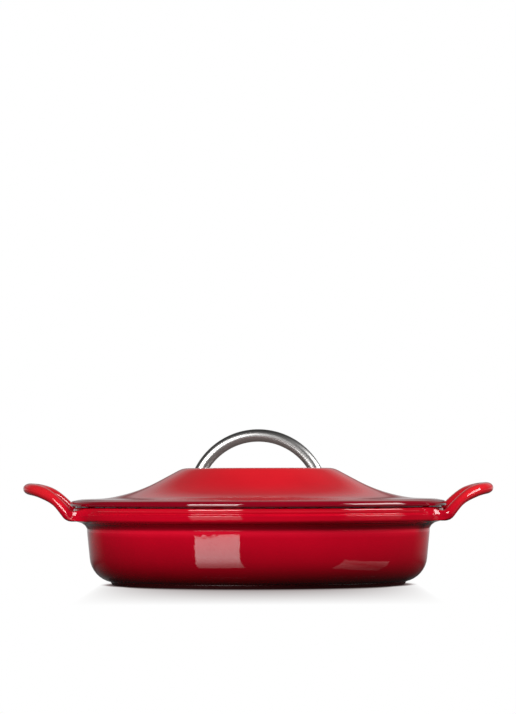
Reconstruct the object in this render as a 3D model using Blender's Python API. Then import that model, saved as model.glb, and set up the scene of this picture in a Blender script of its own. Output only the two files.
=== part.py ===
"""Shallow round casserole in enamelled cast iron, with a lid and a steel arch handle.

Metres, +Z up. The origin is the centre of the base, on the surface that the pan stands on.
+X runs through the two loop handles of the pan.
"""
from math import acos, atan2, ceil, cos, hypot, pi, radians, sin, sqrt, tan

import bmesh
import bpy
from mathutils import Vector

MM = 0.001

# Clearance between touching pieces, and how finely round shapes are divided
GAP = 0.3 * MM
CHORD_ERROR = 0.2 * MM
PAN_STEPS = 60
FASTENER_STEPS = 20

# Pan: foot, belly and wall
BASE_R = 116.4 * MM
FOOT_R = 118.0 * MM
FOOT_H = 2.6 * MM
RECESS_R = 60 * MM
RECESS_H = 0.8 * MM
BELLY_R = 133.1 * MM
BELLY_Z = 5.9 * MM
BELLY_FILLET = 21.0 * MM
WALL_T = 3.8 * MM
FLOOR_Z = 5.0 * MM
FLOOR_FILLET = 15.0 * MM

# Pan: top of the wall, cove, band, groove and the lip that carries the lid
WALL_TOP_R = 136.75 * MM
WALL_TOP_Z = 42.4 * MM
NECK_R = 136.8 * MM
NECK_Z = 45.0 * MM
COVE_R = 138.3 * MM
COVE_Z = 47.5 * MM
UNDER_R = 141.0 * MM
UNDER_Z = 49.4 * MM
BAND_LOW_R = 147.8 * MM
BAND_LOW_Z = 51.5 * MM
BAND_LOW_FILLET = 3.5 * MM
BAND_R = 149.2 * MM
STEP_Z = 56.3 * MM
GROOVE_R = 146.9 * MM
GROOVE_Z = 57.3 * MM
LIP_R = 147.7 * MM
LIP_LOW_Z = 58.8 * MM
LIP_FILLET = 1.7 * MM
RIM_Z = 62.0 * MM
MOUTH_R = 139.6 * MM
MOUTH_FILLET = 1.2 * MM
FLARE_TOP_Z = 55.0 * MM
FLARE_LOW_Z = 46.0 * MM
FLARE_FILLET = 6.0 * MM

# Loop handles: a superellipse in plan, level at the rim, bent up and then over to a level tip
LOOP_ROOT_X = 136 * MM
LOOP_REACH = 45.2 * MM
LOOP_HALF_WIDTH = 50.5 * MM
LOOP_POWER = 2.3
LOOP_LOW_Z = 55.2 * MM
LOOP_HIGH_Z = 76.75 * MM
LOOP_BEND_X = 148.1 * MM
LOOP_BEND_R = 6.5 * MM
LOOP_CREST_X = 167.1 * MM
LOOP_CREST_R = 40 * MM
LOOP_BAR_WIDTH = 13 * MM
LOOP_BAR_T = 9.4 * MM
LOOP_WAIST_T = 7.8 * MM
LOOP_WAIST_REACH = 12 * MM
LOOP_BAR_POWER = 2.1
LOOP_ROOT_FILLET = 9 * MM
LOOP_LEAN_END_X = 158 * MM
LOOP_STEPS = 36
LOOP_BAR_STEPS = 12

# Lid: flat top, ogee slope, flange and the ring that centres it in the pan
LID_T = 3.8 * MM
LID_TOP_Z = 93.0 * MM
SHOULDER_R = 60.3 * MM
SHOULDER_FILLET = 16 * MM
SLOPE_R = 93.9 * MM
SLOPE_Z = 75.1 * MM
SLOPE_FILLET = 120 * MM
FLANGE_R = 120.5 * MM
FLANGE_TOP_Z = 68.95 * MM
FLANGE_FILLET = 80 * MM
FLANGE_OUT_R = 142.0 * MM
FLANGE_OUT_Z = 68.25 * MM
FLANGE_OUT_FILLET = 25 * MM
LID_R = 150.4 * MM
LID_EDGE_TOP_Z = 66.7 * MM
LID_EDGE_FILLET = 2.4 * MM
LID_EDGE_LOW_Z = 62.8 * MM
LID_EDGE_LOW_FILLET = 1.0 * MM
SEAT_Z = RIM_Z + GAP
SEAT_OUT_R = 146.4 * MM
RING_OUT_R = 138.4 * MM
RING_IN_R = 134.2 * MM
RING_LOW_Z = 57.8 * MM
RING_TAPER = 0.5 * MM
RING_FILLET = 0.8 * MM

# Arch handle: a round rod on a circular arc
ARCH_R = 51.7 * MM
ARCH_CENTRE_Z = 67.3 * MM
ROD_R = 5.0 * MM
ROD_STEPS = 16
ARCH_STEPS = 20
FOOT_Z = LID_TOP_Z + GAP

# Fasteners of the arch handle, seen from above down: hole, gasket, washers, screw
SCREW_X = 42.6 * MM
SCREW_R = 2.0 * MM
HOLE_R = SCREW_R + GAP
TAPPED_DEPTH = 6.5 * MM
BOSS_R = 10 * MM
BOSS_H = 2.0 * MM
BOSS_LOW_Z = LID_TOP_Z - LID_T - BOSS_H
GASKET_R = 7.5 * MM
GASKET_T = 0.8 * MM
WASHER_R = 6.0 * MM
WASHER_T = 1.0 * MM
LOCK_R = 3.8 * MM
LOCK_T = 1.0 * MM
LOCK_TURN = radians(340)
HEAD_R = 4.0 * MM
HEAD_H = 2.6 * MM
HEAD_FILLET = 1.4 * MM
SOCKET_R = 1.45 * MM
SOCKET_DEPTH = 1.6 * MM
GASKET_Z = BOSS_LOW_Z - GAP - GASKET_T
WASHER_Z = GASKET_Z - GAP - WASHER_T
LOCK_Z = WASHER_Z - GAP - LOCK_T
HEAD_TOP_Z = LOCK_Z - GAP
SCREW_TIP_Z = FOOT_Z + TAPPED_DEPTH - 2 * GAP

# Colours (linear RGB), roughness and metallic value of each finish
RED_ENAMEL = ((0.58, 0.012, 0.018, 1), 0.12, 0.0)
SATIN_STEEL = ((0.60, 0.58, 0.56, 1), 0.28, 1.0)
SCREW_STEEL = ((0.50, 0.50, 0.50, 1), 0.35, 1.0)
SEAL_RUBBER = ((0.05, 0.05, 0.05, 1), 0.7, 0.0)


def clear_scene():
    for item in list(bpy.data.objects):
        bpy.data.objects.remove(item, do_unlink=True)


def finish(name, look):
    colour, roughness, metallic = look
    material = bpy.data.materials.new(name)
    material.use_nodes = True
    shader = material.node_tree.nodes["Principled BSDF"]
    shader.inputs["Base Color"].default_value = colour
    shader.inputs["Roughness"].default_value = roughness
    shader.inputs["Metallic"].default_value = metallic
    return material


def place(name, mesh, look=None, parent=None, location=(0, 0, 0)):
    """Add a named object for a mesh, with its finish and its place under its parent."""
    item = bpy.data.objects.new(name, mesh)
    bpy.context.scene.collection.objects.link(item)
    item.parent = parent
    item.location = location
    if look is not None and not mesh.materials:
        mesh.materials.append(finish(name, look))
    return item


def to_mesh(name, bm):
    """Close a bmesh into a smooth-shaded mesh with its faces pointing out."""
    bmesh.ops.recalc_face_normals(bm, faces=bm.faces)
    mesh = bpy.data.meshes.new(name)
    bm.to_mesh(mesh)
    bm.free()
    mesh.shade_smooth()
    mesh.set_sharp_from_angle(angle=radians(40))
    return mesh


def boolean(item, tool, operation):
    """Cut or join a tool object, which is kept only as a guide."""
    tool.hide_render = True
    tool.display_type = "WIRE"
    modifier = item.modifiers.new(tool.name, "BOOLEAN")
    modifier.operation = operation
    modifier.solver = "EXACT"
    modifier.object = tool


def corner_turn(before, corner, after):
    """Signed angle through which a path turns at a corner."""
    arrive = atan2(corner[1] - before[1], corner[0] - before[0])
    leave = atan2(after[1] - corner[1], after[0] - corner[0])
    return (leave - arrive + pi) % (2 * pi) - pi


def rounded(corners):
    """Points of a path of (r, z, fillet) corners, with an arc in place of each filleted corner."""
    points = []
    for index, corner in enumerate(corners):
        here = Vector(corner[:2])
        fillet = corner[2]
        if fillet == 0:
            points.append(here)
            continue
        before = Vector(corners[index - 1][:2])
        after = Vector(corners[index + 1][:2])
        turn = corner_turn(before, here, after)
        reach = fillet * tan(abs(turn) / 2)
        arrive = (here - before).normalized()
        side = Vector((-arrive.y, arrive.x)) * (1 if turn > 0 else -1)
        centre = here - arrive * reach + side * fillet
        step = 2 * acos(1 - min(CHORD_ERROR / fillet, 0.3))
        count = max(2, ceil(abs(turn) / step))
        for part in range(count + 1):
            angle = abs(turn) * part / count
            points.append(centre + arrive * fillet * sin(angle) - side * fillet * cos(angle))
    return points


def offset(corners, distance):
    """The inner corners of a path, moved to the right of its direction of travel."""
    moved = []
    for before, corner, after in zip(corners, corners[1:], corners[2:]):
        turn = corner_turn(before, corner, after)
        heading = atan2(corner[1] - before[1], corner[0] - before[0]) + turn / 2
        length = distance / cos(turn / 2)
        fillet = corner[2] + distance * (1 if turn > 0 else -1)
        moved.append((corner[0] + length * sin(heading), corner[1] - length * cos(heading), fillet))
    return moved


def turned(name, points, steps, closed=False, turn=2 * pi):
    """Turn a path of (r, z) points about Z. Less than a full turn leaves two capped ends."""
    bm = bmesh.new()
    start = turn / steps / 2
    path = [bm.verts.new((r * cos(start), r * sin(start), z)) for r, z in points]
    edges = [bm.edges.new(pair) for pair in zip(path, path[1:])]
    if closed:
        edges.append(bm.edges.new((path[-1], path[0])))
    whole = turn == 2 * pi
    bmesh.ops.spin(bm, geom=path + edges, cent=(0, 0, 0), axis=(0, 0, 1), angle=turn, steps=steps,
                   use_merge=whole, use_duplicate=False)
    if not whole:
        bmesh.ops.holes_fill(bm, edges=[edge for edge in bm.edges if edge.is_boundary], sides=len(path))
    bmesh.ops.remove_doubles(bm, verts=bm.verts, dist=0.001 * MM)
    return to_mesh(name, bm)


def cylinder(name, radius, low, high, steps):
    """Solid cylinder about Z between two heights."""
    bm = bmesh.new()
    bmesh.ops.create_cone(bm, cap_ends=True, segments=steps, radius1=radius, radius2=radius, depth=high - low)
    bmesh.ops.translate(bm, verts=bm.verts, vec=(0, 0, (low + high) / 2))
    return to_mesh(name, bm)


def ring(name, inner, outer, thickness, turn=2 * pi):
    """Flat ring that stands on its own origin."""
    points = [(inner, 0), (outer, 0), (outer, thickness), (inner, thickness)]
    return turned(name, points, FASTENER_STEPS, closed=True, turn=turn)


def swept(name, sections):
    """Skin a row of closed sections and cap both ends."""
    bm = bmesh.new()
    rows = [[bm.verts.new(point) for point in section] for section in sections]
    for row, following in zip(rows, rows[1:]):
        for index, vert in enumerate(row):
            bm.faces.new((row[index - 1], vert, following[index], following[index - 1]))
    bm.faces.new(rows[0])
    bm.faces.new(rows[-1])
    return to_mesh(name, bm)


def smooth_rise(value, start, end):
    """Ease from 0 at start to 1 at end."""
    share = min(max((value - start) / (end - start), 0), 1)
    return share * share * (3 - 2 * share)


def signed_power(value, power):
    return abs(value) ** power * (1 if value > 0 else -1)


# Pan

def wall_radius(z):
    """Outer radius of the drafted wall at a height."""
    return BELLY_R + (WALL_TOP_R - BELLY_R) * (z - BELLY_Z) / (WALL_TOP_Z - BELLY_Z)


def pan_corners():
    """Section of the pan: under the foot, up the outside, over the rim and down inside."""
    return [
        (0, RECESS_H, 0),
        (RECESS_R, RECESS_H, 0),
        (RECESS_R + RECESS_H, 0, 0),
        (BASE_R, 0, 0),
        (FOOT_R, FOOT_H, 0),
        (BELLY_R, BELLY_Z, BELLY_FILLET),
        (WALL_TOP_R, WALL_TOP_Z, 0),
        (NECK_R, NECK_Z, 0),
        (COVE_R, COVE_Z, 0),
        (UNDER_R, UNDER_Z, 0),
        (BAND_LOW_R, BAND_LOW_Z, BAND_LOW_FILLET),
        (BAND_R, STEP_Z, 0),
        (GROOVE_R, GROOVE_Z, 0),
        (LIP_R, LIP_LOW_Z, 0),
        (LIP_R, RIM_Z, LIP_FILLET),
        (MOUTH_R, RIM_Z, MOUTH_FILLET),
        (MOUTH_R, FLARE_TOP_Z, FLARE_FILLET),
        (wall_radius(FLARE_LOW_Z) - WALL_T, FLARE_LOW_Z, FLARE_FILLET),
        (wall_radius(FLOOR_Z) - WALL_T, FLOOR_Z, FLOOR_FILLET),
        (0, FLOOR_Z, 0),
    ]


def loop_height(x):
    """Height of the middle of the bar: level, a tight bend up, a slope and a wide bend over to level."""
    climb = atan2(LOOP_HIGH_Z - LOOP_LOW_Z, LOOP_CREST_X - LOOP_BEND_X)
    bend_start = LOOP_BEND_X - LOOP_BEND_R * tan(climb / 2)
    crest_end = LOOP_CREST_X + LOOP_CREST_R * tan(climb / 2)
    if x <= bend_start:
        return LOOP_LOW_Z
    if x >= crest_end:
        return LOOP_HIGH_Z
    if x <= bend_start + LOOP_BEND_R * sin(climb):
        return LOOP_LOW_Z + LOOP_BEND_R - sqrt(LOOP_BEND_R ** 2 - (x - bend_start) ** 2)
    if x >= crest_end - LOOP_CREST_R * sin(climb):
        return LOOP_HIGH_Z - LOOP_CREST_R + sqrt(LOOP_CREST_R ** 2 - (crest_end - x) ** 2)
    return LOOP_LOW_Z + (x - LOOP_BEND_X) * tan(climb)


def loop_thickness(x):
    """The bar is a little slimmer halfway up its slope."""
    waist_x = (LOOP_BEND_X + LOOP_CREST_X) / 2
    waist = 1 - smooth_rise(abs(x - waist_x), 0, LOOP_WAIST_REACH)
    return LOOP_BAR_T - (LOOP_BAR_T - LOOP_WAIST_T) * waist


def loop_middle(share):
    """Point on the middle of the bar, from one root (0) round the tip to the other root (1)."""
    angle = pi / 2 - pi * smooth_rise(share, 0, 1)
    x = LOOP_ROOT_X + LOOP_REACH * signed_power(cos(angle), 2 / LOOP_POWER)
    y = LOOP_HALF_WIDTH * signed_power(sin(angle), 2 / LOOP_POWER)
    return Vector((x, y, loop_height(x)))


def loop_root_flare(middle):
    """How far each side of the bar widens close to the rim, as a round fillet does."""
    clear = max(0, hypot(middle.x, middle.y) - BAND_R) / LOOP_ROOT_FILLET
    if clear >= 1:
        return 0
    return LOOP_ROOT_FILLET * (1 - sqrt(1 - (1 - clear) ** 2))


def bar_outline(half_width, half_height):
    """Points of the bar's section, a superellipse, going round once."""
    points = []
    for step in range(LOOP_BAR_STEPS):
        angle = 2 * pi * step / LOOP_BAR_STEPS
        u = half_width * signed_power(cos(angle), 2 / LOOP_BAR_POWER)
        v = half_height * signed_power(sin(angle), 2 / LOOP_BAR_POWER)
        points.append((u, v))
    return points


def rim_reach(y):
    """How far out the rim band lies at a distance from the X axis."""
    return sqrt(BAND_R ** 2 - y ** 2)


def loop_section(share):
    """Section of the bar: square to its run, but leaning along the rim where it grows from it."""
    nudge = 0.001
    middle = loop_middle(share)
    along = loop_middle(min(share + nudge, 1)) - loop_middle(max(share - nudge, 0))
    slope = (loop_height(middle.x + nudge * MM) - loop_height(middle.x)) / (nudge * MM)
    up = Vector((-slope, 0, 1)).normalized()
    side = along.cross(up).normalized()
    half_width = LOOP_BAR_WIDTH / 2 + loop_root_flare(middle)
    outline = bar_outline(half_width, loop_thickness(middle.x) / 2)
    points = [middle + side * u + up * v for u, v in outline]
    lean = 1 - smooth_rise(middle.x, LOOP_ROOT_X, LOOP_LEAN_END_X)
    for point in points:
        point.x += lean * (rim_reach(point.y) - rim_reach(middle.y))
    return points


def make_pan():
    pan = place("pan_body", turned("pan_body", rounded(pan_corners()), PAN_STEPS), RED_ENAMEL)
    loop = swept("loop_handle", [loop_section(step / LOOP_STEPS) for step in range(LOOP_STEPS + 1)])
    for name, angle in (("loop_handle_right", 0), ("loop_handle_left", pi)):
        handle = place(name, loop)
        handle.rotation_euler.z = angle
        boolean(pan, handle, "UNION")


# Lid

def lid_corners():
    """Section of the lid: out along the top, round the edge and back along the underside."""
    top = [
        (0, LID_TOP_Z, 0),
        (SHOULDER_R, LID_TOP_Z, SHOULDER_FILLET),
        (SLOPE_R, SLOPE_Z, SLOPE_FILLET),
        (FLANGE_R, FLANGE_TOP_Z, FLANGE_FILLET),
        (FLANGE_OUT_R, FLANGE_OUT_Z, FLANGE_OUT_FILLET),
        (LID_R, LID_EDGE_TOP_Z, LID_EDGE_FILLET),
    ]
    edge = [
        (LID_R, LID_EDGE_LOW_Z, LID_EDGE_LOW_FILLET),
        (SEAT_OUT_R, LID_EDGE_LOW_Z, 0),
        (SEAT_OUT_R, SEAT_Z, 0),
        (RING_OUT_R, SEAT_Z, 0),
        (RING_OUT_R - RING_TAPER, RING_LOW_Z, RING_FILLET),
        (RING_IN_R + RING_TAPER, RING_LOW_Z, RING_FILLET),
        (RING_IN_R, FLANGE_TOP_Z - LID_T, 0),
    ]
    underside = list(reversed(offset(top[:-1], LID_T)))
    return top + edge + underside + [(0, LID_TOP_Z - LID_T, 0)]


def make_lid(parent):
    lid = place("lid", turned("lid", rounded(lid_corners()), PAN_STEPS), RED_ENAMEL, parent,
                -parent.location)
    boss = cylinder("screw_boss", BOSS_R, BOSS_LOW_Z, LID_TOP_Z - LID_T / 2, FASTENER_STEPS)
    hole = cylinder("screw_hole", HOLE_R, BOSS_LOW_Z - LID_T, LID_TOP_Z + LID_T, FASTENER_STEPS)
    for mesh, operation in ((boss, "UNION"), (hole, "DIFFERENCE")):
        for side, x in (("left", -SCREW_X), ("right", SCREW_X)):
            tool = place(f"{mesh.name}_{side}", mesh, location=(x, 0, 0))
            boolean(lid, tool, operation)


# Arch handle and its fasteners

def arch_section(share):
    """Round section of the rod. The two ends are cut level, just above the lid."""
    start = atan2(FOOT_Z - ARCH_CENTRE_Z, sqrt(ARCH_R ** 2 - (FOOT_Z - ARCH_CENTRE_Z) ** 2))
    angle = start + (pi - 2 * start) * share
    out = Vector((cos(angle), 0, sin(angle)))
    along = Vector((-sin(angle), 0, cos(angle)))
    middle = Vector((0, 0, ARCH_CENTRE_Z)) + out * ARCH_R
    points = []
    for step in range(ROD_STEPS):
        turn = 2 * pi * step / ROD_STEPS
        point = middle + out * ROD_R * cos(turn) + Vector((0, ROD_R * sin(turn), 0))
        if share in (0, 1):
            point += along * (FOOT_Z - point.z) / along.z
        points.append(point)
    return points


def make_arch_handle(parent):
    arch = swept("lid_handle", [arch_section(step / ARCH_STEPS) for step in range(ARCH_STEPS + 1)])
    handle = place("lid_handle", arch, SATIN_STEEL, parent, -parent.location)
    hole = cylinder("tapped_hole", HOLE_R, FOOT_Z - TAPPED_DEPTH, FOOT_Z + TAPPED_DEPTH, FASTENER_STEPS)
    for side, x in (("left", -SCREW_X), ("right", SCREW_X)):
        boolean(handle, place(f"tapped_hole_{side}", hole, location=(x, 0, 0)), "DIFFERENCE")


def screw_mesh():
    """Screw with a rounded head, standing on its head at its own origin."""
    corners = [
        (0, 0, 0),
        (HEAD_R, 0, HEAD_FILLET),
        (HEAD_R, HEAD_H, 0),
        (SCREW_R, HEAD_H, 0),
        (SCREW_R, HEAD_H + SCREW_TIP_Z - HEAD_TOP_Z, 0),
        (0, HEAD_H + SCREW_TIP_Z - HEAD_TOP_Z, 0),
    ]
    return turned("handle_screw", rounded(corners), FASTENER_STEPS)


def make_fasteners(parent):
    stack = [
        ("handle_gasket", ring("handle_gasket", HOLE_R, GASKET_R, GASKET_T), GASKET_Z, SEAL_RUBBER),
        ("handle_washer", ring("handle_washer", HOLE_R, WASHER_R, WASHER_T), WASHER_Z, SCREW_STEEL),
        ("handle_lock_washer", ring("handle_lock_washer", HOLE_R, LOCK_R, LOCK_T, LOCK_TURN), LOCK_Z,
         SCREW_STEEL),
        ("handle_screw", screw_mesh(), HEAD_TOP_Z - HEAD_H, SCREW_STEEL),
    ]
    socket = cylinder("hex_socket", SOCKET_R, -SOCKET_DEPTH, SOCKET_DEPTH, 6)
    for side, x in (("left", -SCREW_X), ("right", SCREW_X)):
        for kind, mesh, z, look in stack:
            item = place(f"{kind}_{side}", mesh, look, parent, (x, 0, z - parent.location.z))
            if kind == "handle_screw":
                boolean(item, place(f"hex_socket_{side}", socket, location=(x, 0, z)), "DIFFERENCE")


def main():
    clear_scene()
    make_pan()
    lift = bpy.data.objects.new("lid_lift", None)
    bpy.context.scene.collection.objects.link(lift)
    lift.location = (0, 0, SEAT_Z)
    make_lid(lift)
    make_arch_handle(lift)
    make_fasteners(lift)


main()
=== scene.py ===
"""Looks of the lidded cast iron pan: enamel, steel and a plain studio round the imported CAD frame.

Metres, +Z up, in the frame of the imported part: the origin is the centre of the base, and +X runs
through the two loop handles.
"""

from math import atan, atan2, ceil, cos, pi, radians, sin, sqrt, tan

import bmesh
import bpy
import numpy
from mathutils import Matrix, Vector


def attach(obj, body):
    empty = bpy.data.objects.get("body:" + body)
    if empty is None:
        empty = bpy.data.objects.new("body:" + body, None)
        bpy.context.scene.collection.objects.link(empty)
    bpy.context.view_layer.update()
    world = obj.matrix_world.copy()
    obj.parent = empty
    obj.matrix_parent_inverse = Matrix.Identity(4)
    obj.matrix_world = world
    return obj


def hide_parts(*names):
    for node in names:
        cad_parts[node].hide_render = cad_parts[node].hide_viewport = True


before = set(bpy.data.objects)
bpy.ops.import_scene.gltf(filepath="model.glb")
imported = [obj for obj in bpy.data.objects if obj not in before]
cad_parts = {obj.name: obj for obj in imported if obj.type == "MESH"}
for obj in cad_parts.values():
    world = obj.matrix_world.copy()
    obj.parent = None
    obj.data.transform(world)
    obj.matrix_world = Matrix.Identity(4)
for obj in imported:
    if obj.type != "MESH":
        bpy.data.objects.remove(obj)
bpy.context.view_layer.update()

MM = 0.001

# How finely the cast shapes are divided
TURN_STEPS = 240
ARC_STEP = radians(9)
ROW_LENGTH = 4 * MM
ROW_SLACK = 0.01
AXIS_R = 0.001 * MM

# Pan: foot, belly and wall
BASE_R = 116.4 * MM
FOOT_R = 118.0 * MM
FOOT_H = 2.6 * MM
FOOT_EDGE = 0.5 * MM
RECESS_R = 60 * MM
RECESS_H = 0.8 * MM
BELLY_R = 133.1 * MM
BELLY_Z = 5.9 * MM
BELLY_FILLET = 21.0 * MM
WALL_T = 3.8 * MM
FLOOR_Z = 5.0 * MM
FLOOR_FILLET = 15.0 * MM

# Pan: top of the wall, cove, band, groove and the lip that carries the lid
WALL_TOP_R = 136.75 * MM
WALL_TOP_Z = 42.4 * MM
WALL_TOP_FILLET = 6.0 * MM
NECK_R = 136.8 * MM
NECK_Z = 45.0 * MM
NECK_FILLET = 1.2 * MM
COVE_R = 138.3 * MM
COVE_Z = 47.5 * MM
COVE_FILLET = 3.0 * MM
UNDER_R = 141.0 * MM
UNDER_Z = 49.4 * MM
UNDER_FILLET = 4.0 * MM
BAND_LOW_R = 147.8 * MM
BAND_LOW_Z = 51.5 * MM
BAND_LOW_FILLET = 3.5 * MM
BAND_R = 149.2 * MM
STEP_Z = 56.3 * MM
STEP_FILLET = 0.5 * MM
GROOVE_R = 146.9 * MM
GROOVE_Z = 57.3 * MM
GROOVE_FILLET = 0.4 * MM
LIP_R = 147.7 * MM
LIP_LOW_Z = 58.8 * MM
LIP_LOW_FILLET = 0.8 * MM
LIP_FILLET = 1.7 * MM
RIM_Z = 62.0 * MM
MOUTH_R = 139.6 * MM
MOUTH_FILLET = 1.2 * MM
FLARE_TOP_Z = 55.0 * MM
FLARE_LOW_Z = 46.0 * MM
FLARE_FILLET = 6.0 * MM

# Loop handles: a superellipse in plan, bent up at the rim and over to a level tip
LOOP_ROOT_X = 136 * MM
LOOP_REACH = 45.15 * MM
LOOP_HALF_WIDTH = 50.5 * MM
LOOP_POWER = 2.3
LOOP_LOW_Z = 55.2 * MM
LOOP_HIGH_Z = 76.75 * MM
LOOP_BEND_X = 148.1 * MM
LOOP_BEND_R = 6.5 * MM
LOOP_CREST_X = 167.1 * MM
LOOP_CREST_R = 40 * MM
LOOP_BAR_WIDTH = 13 * MM
LOOP_BAR_T = 9.4 * MM
LOOP_WAIST_T = 7.8 * MM
LOOP_WAIST_REACH = 12 * MM
LOOP_BAR_POWER = 2.1
LOOP_SECTIONS = 96

# Where a bar of a loop grows out of the rim: the opening in the rim and the skin that fills it
ROOT_INNER_COLUMN = 9
ROOT_OUTER_COLUMN = 17
ROOT_UNDER_R = 144.1 * MM
ROOT_UNDER_Z = UNDER_Z + (BAND_LOW_Z - UNDER_Z) * (ROOT_UNDER_R - UNDER_R) / (BAND_LOW_R - UNDER_R)
ROOT_TOP_Z = RIM_Z - 0.5 * MM
ROOT_BAR_X = 149.5 * MM
ROOT_ROWS = 12
ROOT_HALVINGS = 40
GROOVE_FADE_COLUMNS = 5

# Lid: flat top, ogee slope, flange and the ring that centres it in the pan
LID_T = 3.8 * MM
LID_TOP_Z = 93.0 * MM
SHOULDER_R = 60.3 * MM
SHOULDER_FILLET = 16 * MM
SLOPE_R = 93.9 * MM
SLOPE_Z = 75.1 * MM
SLOPE_FILLET = 120 * MM
FLANGE_R = 120.5 * MM
FLANGE_TOP_Z = 68.95 * MM
FLANGE_FILLET = 80 * MM
FLANGE_OUT_R = 142.0 * MM
FLANGE_OUT_Z = 68.25 * MM
FLANGE_OUT_FILLET = 25 * MM
LID_R = 150.15 * MM
LID_EDGE_TOP_Z = 66.7 * MM
LID_EDGE_FILLET = 3.0 * MM
LID_EDGE_LOW_Z = 62.8 * MM
LID_EDGE_LOW_FILLET = 1.0 * MM
SEAT_Z = RIM_Z + 0.3 * MM
SEAT_OUT_R = 146.4 * MM
RING_OUT_R = 138.4 * MM
RING_IN_R = 134.2 * MM
RING_LOW_Z = 57.8 * MM
RING_TAPER = 0.5 * MM
RING_FILLET = 0.8 * MM

# Arch handle: a round rod on a circular arc, standing on the flat top of the lid
ARCH_R = 51.7 * MM
ARCH_CENTRE_Z = 67.3 * MM
ROD_R = 5.0 * MM
ROD_STEPS = 48
ARCH_STEPS = 120
FOOT_Z = LID_TOP_Z

# Fasteners of the arch handle, under the lid
SCREW_X = 42.6 * MM
SCREW_R = 2.0 * MM
HOLE_R = 2.3 * MM
BOSS_R = 10 * MM
BOSS_H = 2.0 * MM
BOSS_BLEND = 2.5 * MM
HOLE_TOP_Z = 100.0 * MM
GASKET_R = 7.5 * MM
GASKET_Z = 86.1 * MM
GASKET_T = 0.8 * MM
WASHER_R = 6.0 * MM
WASHER_Z = 84.8 * MM
WASHER_T = 1.0 * MM
RING_EDGE = 0.25 * MM
LOCK_R = 3.8 * MM
LOCK_Z = 83.5 * MM
LOCK_T = 0.75 * MM
LOCK_RISE = 0.25 * MM
LOCK_START = radians(8.5)
LOCK_TURN = radians(340)
LOCK_STEPS = 60
HEAD_R = 4.0 * MM
HEAD_Z = 80.6 * MM
HEAD_H = 2.6 * MM
HEAD_FILLET = 1.4 * MM
HEAD_EDGE = 0.2 * MM
SOCKET_R = 1.45 * MM
SOCKET_DEPTH = 1.6 * MM
SCREW_TIP_Z = 99.2 * MM
TIP_CHAMFER = 0.6 * MM
THREAD_PITCH = 0.7 * MM
THREAD_DEPTH = 0.3 * MM
THREAD_ROWS = 6
FASTENER_STEPS = 48
SHARP_ANGLE = radians(50)
SCREW_SHARP_ANGLE = radians(40)

# Enamel: linear reds by height, with painted shade and a painted highlight in the pan's, and its texture
PAN_REDS_WITH_PAINTED_LIGHT = [
    # Painted shade: very dark at the foot and at the bottom of the belly
    (0 * MM, (0.02, 0.0002, 0.0010)),
    (2.6 * MM, (0.05, 0.0002, 0.0010)),
    (5 * MM, (0.12, 0.0003, 0.0025)),
    (18 * MM, (0.24, 0.0004, 0.006)),
    (39 * MM, (0.44, 0.0008, 0.012)),
    # Painted highlight: a lighter line along the top of the wall, under the cove
    (42.5 * MM, (0.58, 0.0030, 0.020)),
    (44 * MM, (0.57, 0.0030, 0.020)),
    # Painted shade: darker in the cove and under the band
    (46.5 * MM, (0.27, 0.0006, 0.008)),
    (49.5 * MM, (0.32, 0.0006, 0.009)),
    (52 * MM, (0.58, 0.0010, 0.015)),
    (56 * MM, (0.50, 0.0010, 0.014)),
    (RIM_Z, (0.53, 0.0040, 0.016)),
    # Lighter up the loops to their tips
    (80 * MM, (0.66, 0.0160, 0.022)),
]
LID_REDS = [
    (LID_EDGE_LOW_Z, (0.18, 0.0010, 0.008)),
    (LID_EDGE_TOP_Z, (0.22, 0.0012, 0.010)),
    (68 * MM, (0.40, 0.0030, 0.012)),
    (71 * MM, (0.54, 0.0060, 0.016)),
    (76 * MM, (0.57, 0.0080, 0.017)),
    (LID_TOP_Z, (0.63, 0.0120, 0.020)),
]
MOTTLE_SCALE = 22
MOTTLE_TONES = (0.94, 1.05)
# Painted reflection: the grey colour the flat top of the lid shows in the gloss of other pieces, and the
# height over which it fades in
PAINTED_TOP_REFLECTION = (0.25, 0.20, 0.19, 1)
PAINTED_REFLECTION_FADE = 1 * MM
GLOSS_SCALE = 30
GLOSS_ROUGHNESS = (0.035, 0.055)
FOOT_ROUGHNESS = 0.45
FOOT_FADE = 1 * MM
PEEL_SCALE = 200
PEEL_DEPTH = 0.032 * MM
PEEL_DETAIL = 1.5

# Dark enamel inside: its colour, its uneven border with the red, and its texture
BLACK_ENAMEL = (0.012, 0.012, 0.013, 1)
BORDER_SCALE = 90
BORDER_WOBBLE = 0.3
BORDER_LOW = 0.35
BORDER_HIGH = 0.65
SPECKLE_SCALE = 700
SPECKLE_LOW = 0.35
SPECKLE_HIGH = 0.75
SPECKLE_TONES = (0.6, 1.6)
SATIN_SCALE = 200
SATIN_ROUGHNESS = (0.36, 0.48)
GRIT_SCALE = 1500
GRIT_DEPTH = 0.03 * MM

# Steel, its fine marks and its haze; rubber
SATIN_STEEL = (0.52, 0.51, 0.50, 1)
SATIN_STEEL_ROUGHNESS = (0.32, 0.38)
GRAIN_ROUND = 40
GRAIN_ALONG = 6
GRAIN_SCALE = 1.0
SCREW_STEEL = (0.50, 0.50, 0.50, 1)
SCREW_STEEL_ROUGHNESS = (0.28, 0.38)
SCREW_MARK_SCALE = 1200
MARK_DETAIL = 4
MARK_ROUGHNESS = 0.65
MARK_TONES = (0.98, 1.02)
MARK_DEPTH = 0.0002 * MM
HAZE_SCALE = 60
HAZE = (-0.01, 0.01)
SEAL_RUBBER = (0.05, 0.05, 0.05, 1)
RUBBER_SCALE = 2500
RUBBER_TONES = (0.75, 1.25)
RUBBER_ROUGHNESS = (0.62, 0.78)
RUBBER_DEPTH = 0.02 * MM

# The middle part of a noise, which most of it lies in, and how many octaves it has
NOISE_LOW = 0.3
NOISE_HIGH = 0.7
COARSE_DETAIL = 2
FINE_DETAIL = 3

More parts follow.
